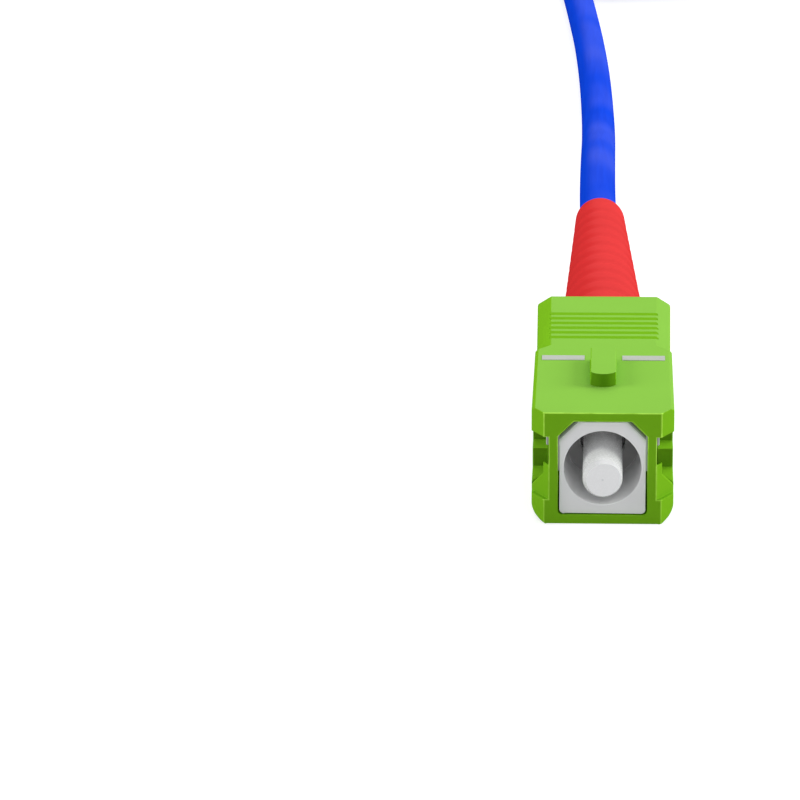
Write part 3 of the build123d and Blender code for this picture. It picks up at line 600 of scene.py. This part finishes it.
def makeBootTree():  # a sheet rolled round the axis: outside, rounded end, then back inside the bore
    tree, given = startTree("ringedBoot", ["Length", "Taper At", "Tip At", "Base", "Tip", "Lip", "Bore", "Ring At",
                                           "Ring Pitch", "Ring Last", "Ring Width", "Ring Depth"])
    sheet = tree.nodes.new("GeometryNodeMeshGrid")
    for label, value in {"Size X": 1, "Size Y": 1, "Vertices X": sheetSet["around"],
                         "Vertices Y": sheetSet["along"]}.items():
        sheet.inputs[label].default_value = value
    parts = tree.nodes.new("ShaderNodeSeparateXYZ")
    feed(tree, tree.nodes.new("GeometryNodeInputPosition").outputs["Position"], parts.inputs["Vector"])
    share = calc(tree, "ADD", parts.outputs["Y"], 0.5)
    along = calc(tree, "MULTIPLY", given["Length"], spread(tree, share, 0.0, sheetSet["outside"], 0.0, 1.0))
    inside = spread(tree, share, sheetSet["bore"], 1.0, 0.0, 1.0)
    radius = spread(tree, along, given["Taper At"], given["Tip At"], given["Base"], given["Tip"])
    rim = spread(tree, along, given["Tip At"], given["Length"], 0.0, 1.0)
    radius = calc(tree, "SUBTRACT", radius, calc(tree, "MULTIPLY", calc(tree, "POWER", rim, 2.0), given["Lip"]))
    phase = calc(tree, "DIVIDE", calc(tree, "SUBTRACT", along, given["Ring At"]), given["Ring Pitch"])
    nearest = calc(tree, "MINIMUM", calc(tree, "MAXIMUM", calc(tree, "ROUND", phase), 0.0), given["Ring Last"])
    away = calc(tree, "MULTIPLY", calc(tree, "ABSOLUTE", calc(tree, "SUBTRACT", phase, nearest)), given["Ring Pitch"])
    dent = spread(tree, away, 0.0, given["Ring Width"], given["Ring Depth"], 0.0, "SMOOTHSTEP")
    radius = calc(tree, "SUBTRACT", radius, dent)
    radius = spread(tree, share, sheetSet["outside"], sheetSet["bore"], radius, given["Bore"])
    turn = calc(tree, "MULTIPLY", calc(tree, "ADD", parts.outputs["X"], 0.5), -tau)
    point = tree.nodes.new("ShaderNodeCombineXYZ")
    feed(tree, calc(tree, "MULTIPLY", radius, calc(tree, "COSINE", turn)), point.inputs["X"])
    back = calc(tree, "MULTIPLY", calc(tree, "MULTIPLY", inside, given["Length"]), sheetSet["bored"])
    feed(tree, calc(tree, "SUBTRACT", along, back), point.inputs["Y"])
    feed(tree, calc(tree, "MULTIPLY", radius, calc(tree, "SINE", turn)), point.inputs["Z"])
    rolled = passOn(tree, "GeometryNodeSetPosition", sheet.outputs["Mesh"], Position=point.outputs["Vector"])
    return endTree(tree, given, passOn(tree, "GeometryNodeMergeByDistance", rolled, Distance=mm(0.002)))


bootSet = {
    "strainBoot": {"node": "boot", "leanAt": 26.6, "lean": 0.7, "start": 20.6, "Length": 36.2, "Taper At": 5.4,
                   "Tip At": 35.8, "Base": 3.06, "Tip": 1.88, "Lip": 0.06, "Bore": 1.55, "Ring At": 8.9,
                   "Ring Pitch": 2.6, "Ring Last": 9.0, "Ring Width": 0.95, "Ring Depth": 0.15},
    "farBoot": {"node": "lc_boot", "lean": 0, "Length": 22.0, "Taper At": 0.0, "Tip At": 21.6, "Base": 2.5,
                "Tip": 1.86, "Lip": 0.12, "Bore": 1.5, "Ring At": 3.0, "Ring Pitch": 2.6, "Ring Last": 6.0,
                "Ring Width": 0.75, "Ring Depth": 0.07},
}


def makeBoots():
    tree = makeBootTree()
    for name, setting in bootSet.items():
        low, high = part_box(setting["node"])
        values = {label: mm(value) for label, value in setting.items() if label[0].isupper()}
        values["Ring Last"] = setting["Ring Last"]
        values["Finish"] = finishes["redBoot"]
        values["Turn"] = (0, 0, radians(setting["lean"]))
        values["Place"] = ((low[0] + high[0]) / 2, low[1], (low[2] + high[2]) / 2)
        if setting["lean"]:
            arm, lean = setting["start"] - setting["leanAt"], values["Turn"][2]
            values["Place"] = place(-arm * sin(lean), setting["leanAt"] + arm * cos(lean), axisHeight)
        attach(grow(name, tree, values), "core", "red_boot", setting["node"])


def makeSpringTree():  # open turns with one closed turn at each end
    tree, given = startTree("closedSpring", ["Turns", "Radius", "Length", "Wire"])
    coil = tree.nodes.new("GeometryNodeCurveSpiral")
    coil.inputs["Resolution"].default_value = 28
    for label, value in {"Rotations": given["Turns"], "Start Radius": given["Radius"], "End Radius": given["Radius"],
                         "Height": 0.0}.items():
        feed(tree, value, coil.inputs[label])
    done = calc(tree, "MULTIPLY", tree.nodes.new("GeometryNodeSplineParameter").outputs["Factor"], given["Turns"])
    lastTurn = calc(tree, "SUBTRACT", given["Turns"], 1.0)
    rise = calc(tree, "SUBTRACT", given["Length"], calc(tree, "MULTIPLY", given["Wire"], 3.0))
    height = spread(tree, done, 0.0, 1.0, 0.0, given["Wire"])
    height = calc(tree, "ADD", height, spread(tree, done, 1.0, lastTurn, 0.0, rise))
    height = calc(tree, "ADD", height, spread(tree, done, lastTurn, given["Turns"], 0.0, given["Wire"]))
    lift = tree.nodes.new("ShaderNodeCombineXYZ")
    feed(tree, calc(tree, "MULTIPLY_ADD", given["Wire"], 0.5, height), lift.inputs["Z"])
    line = passOn(tree, "GeometryNodeSetPosition", coil.outputs["Curve"], Offset=lift.outputs["Vector"])
    ring = tree.nodes.new("GeometryNodeCurvePrimitiveCircle")
    ring.inputs["Resolution"].default_value = 12
    feed(tree, calc(tree, "MULTIPLY", given["Wire"], 0.5), ring.inputs["Radius"])
    wire = passOn(tree, "GeometryNodeCurveToMesh", line, "Curve", Profile_Curve=ring.outputs["Curve"], Fill_Caps=True)
    return endTree(tree, given, wire)


springSet = {
    "ferruleCoil": {"node": "ferrule_spring", "joint": "ferrule_float", "wire": 0.4, "turns": 6.5, "give": 1.2},
    "farCoil": {"node": "lc_spring", "joint": "lc_ferrule_float", "wire": 0.25, "turns": 6.5, "give": 1.0},
}


def makeSprings():
    tree = makeSpringTree()
    for name, setting in springSet.items():
        low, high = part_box(setting["node"])
        length, wire = high[1] - low[1], mm(setting["wire"])
        middle = ((low[0] + high[0]) / 2, low[1], (low[2] + high[2]) / 2)
        values = {"Turns": setting["turns"], "Radius": (high[0] - low[0] - wire) / 2, "Length": length, "Wire": wire,
                  "Place": middle, "Turn": (radians(-90), 0, 0), "Finish": finishes["springWire"]}
        spring = grow(name, tree, values)
        attach(spring, "core", "spring_steel", setting["node"])
        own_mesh(spring)


makeBoots()
makeSprings()
print("boots and springs grown")

# strap: one flat band round the hank's left bundle, its end lapped over its start
strapSet = {"turns": 1.32, "thick": 0.42, "square": 7.0, "steps": 150, "rows": 8, "startAngle": 40, "tipRound": 2.4,
            "lapAt": 0.94, "lapRun": 0.06, "lapLift": 1.08, "round": 24}


def makeStrap():
    low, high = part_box("hank_tie")
    middle = ((low[0] + high[0]) / 2, (low[1] + high[1]) / 2, (low[2] + high[2]) / 2)
    thick = mm(strapSet["thick"])
    halfWide, halfTall, halfLong = [(high[axis] - low[axis]) / 2 for axis in (0, 2, 1)]
    form = bmesh.new()
    layout = form.loops.layers.uv.new("UVMap")
    rows, run, before = [], 0.0, None
    for step in range(strapSet["steps"] + 1):
        turn = strapSet["turns"] * step / strapSet["steps"]
        lap = min(1, max(0, (turn - strapSet["lapAt"]) / strapSet["lapRun"]))  # climbs over its own start
        out = thick * strapSet["lapLift"] * lap * lap * (3 - 2 * lap) - thick / 2
        angle = radians(strapSet["startAngle"]) + tau * turn
        bend = 2 / strapSet["square"]
        x = middle[0] + (halfWide + out) * abs(cos(angle)) ** bend * (1 if cos(angle) > 0 else -1)
        z = middle[2] + (halfTall + out) * abs(sin(angle)) ** bend * (1 if sin(angle) > 0 else -1)
        here = Vector((x, 0, z))
        run += (here - before).length if before else 0.0
        before = here
        left = (1 - step / strapSet["steps"]) * strapSet["turns"] * mm(strapSet["round"])  # to the free end, nearly
        trim = mm(strapSet["tipRound"])
        cut = trim - (trim**2 - (trim - left) ** 2) ** 0.5 if left < trim else 0.0
        row = []
        for index in range(strapSet["rows"] + 1):
            y = (2 * index / strapSet["rows"] - 1) * (halfLong - cut)
            row.append((form.verts.new((x, middle[1] + y, z)), (run, y)))
        rows.append(row)
    for first, second in zip(rows, rows[1:]):
        for index in range(strapSet["rows"]):
            corners = [first[index], first[index + 1], second[index + 1], second[index]]
            face = form.faces.new([vert for vert, spot in corners])
            face.smooth = True
            for loop, (vert, spot) in zip(face.loops, corners):
                loop[layout].uv = spot
    mesh = bpy.data.meshes.new("hankStrap")
    form.to_mesh(mesh)
    form.free()
    mesh.materials.append(finishes["strapCloth"])
    strap = bpy.data.objects.new("hankStrap", mesh)
    scene.collection.objects.link(strap)
    wall = strap.modifiers.new("wall", "SOLIDIFY")
    wall.thickness = thick
    wall.offset = 0
    attach(strap, "core", "strap", "hank_tie")


makeStrap()
print("strap tied")

# cord: one line from inside the boot, along the floor, six times round the hank and into the far connector
cordSet = {
    "diameter": 2.8,
    "route": [(-0.06, 32.0, axisHeight), (-0.56, 57.7, axisHeight), (-0.62, 72.0, axisHeight), (-0.56, 93.5, 1.4),
              (-1.19, 118.0, 1.4), (-2.6, 141.0, 1.4), (-3.5, 152.6, 1.4)],
    "exit": (-0.53, 57.7, axisHeight),
    "length": 0.95,
}
hankSet = {
    "centre": 7.7, "near": 160.6, "far": 202.6, "inner": 8.4, "outer": 11.2, "step": 2.8, "low": 1.4,
    "foldAngles": (15, 45, 75, 105, 135, 165), "runShares": (0.1, 0.3, 0.5, 0.7, 0.9),
    "passes": [("outer", 0), ("inner", 0), ("inner", 1), ("outer", 1), ("outer", 2), ("inner", 2)],
    "strapShare": 0.5, "strapLift": 0.45, "riseRun": 0.3, "crossAt": 0.6, "crossRun": 0.3, "lastRun": 0.6,
    "tailRadius": 9.8, "tailLow": 9.85, "tailHigh": 11.1, "tailEnd": 184.7, "tailLead": 4,
    "tailShares": (0.72, 0.88), "tailDrop": 1.2, "tailInset": 0.7,
}


def level(layer):
    return hankSet["low"] + layer * hankSet["step"]


def fold(angles, centre, radius, low, high):
    wide = radius / cos(radians(hankSet["foldAngles"][0]))  # the line runs inside its points
    last = len(angles) - 1
    points = []
    for index, angle in enumerate(angles):
        x = hankSet["centre"] - wide * cos(radians(angle))
        y = centre + wide * sin(radians(angle))
        points.append((x, y, low + (high - low) * index / last))
    return points


def hankRoute():
    near, far, centre = hankSet["near"], hankSet["far"], hankSet["centre"]
    ahead = hankSet["foldAngles"]
    back = [-angle for angle in reversed(ahead)]
    shares = hankSet["runShares"]
    points = []
    for index, (track, layer) in enumerate(hankSet["passes"]):
        radius, z = hankSet[track], level(layer)
        lastPass = index + 1 == len(hankSet["passes"])
        for share in shares:  # left run, a little higher where the strap goes under it
            lift = hankSet["strapLift"] * (1 - layer / 2) if share == hankSet["strapShare"] else 0
            if not (lastPass and share > hankSet["lastRun"]):
                points.append((centre - radius, near + share * (far - near), z + lift))
        if lastPass:
            break
        points += fold(ahead, far, radius, z, z)
        nextTrack, nextLayer = hankSet["passes"][index + 1]
        for share in shares:  # right run: up early, across late
            risen = min(1, share / hankSet["riseRun"])
            crossed = max(0, (share - hankSet["crossAt"]) / hankSet["crossRun"])
            x = centre + radius + (hankSet[nextTrack] - radius) * min(1, crossed)
            points.append((x, far - share * (far - near), z + (level(nextLayer) - z) * risen))
        points += fold(back, near, hankSet[nextTrack], level(nextLayer), level(nextLayer))
    left, (first, second) = centre - hankSet["tailRadius"], hankSet["tailShares"]
    points.append((left + hankSet["tailInset"], near + first * (far - near), hankSet["tailLow"] - hankSet["tailDrop"]))
    points.append((left, near + second * (far - near), hankSet["tailLow"]))
    points += fold(ahead, far, hankSet["tailRadius"], hankSet["tailLow"], hankSet["tailHigh"])
    right = centre + hankSet["tailRadius"]
    points += [(right, end, hankSet["tailHigh"]) for end in (far - hankSet["tailLead"], hankSet["tailEnd"])]
    return points


def makeCord():
    curve = bpy.data.curves.new("cordLine", "CURVE")
    curve.dimensions = "3D"
    curve.resolution_u = 6
    curve.bevel_depth = mm(cordSet["diameter"] / 2)
    curve.bevel_resolution = 6
    curve.use_fill_caps = True
    points = cordSet["route"] + hankRoute()
    spline = curve.splines.new("NURBS")
    spline.points.add(len(points) - 1)
    for control, point in zip(spline.points, points):
        control.co = place(*point).to_4d()
    spline.order_u = 3
    spline.use_endpoint_u = True
    curve.materials.append(finishes["blueJacket"])
    cord = bpy.data.objects.new("patchCord", curve)
    scene.collection.objects.link(cord)
    attach(cord, "core", "blue_jacket", "cord", "cord_hank", "cord_tail")
    return cord


makeCord()
print("cord laid")
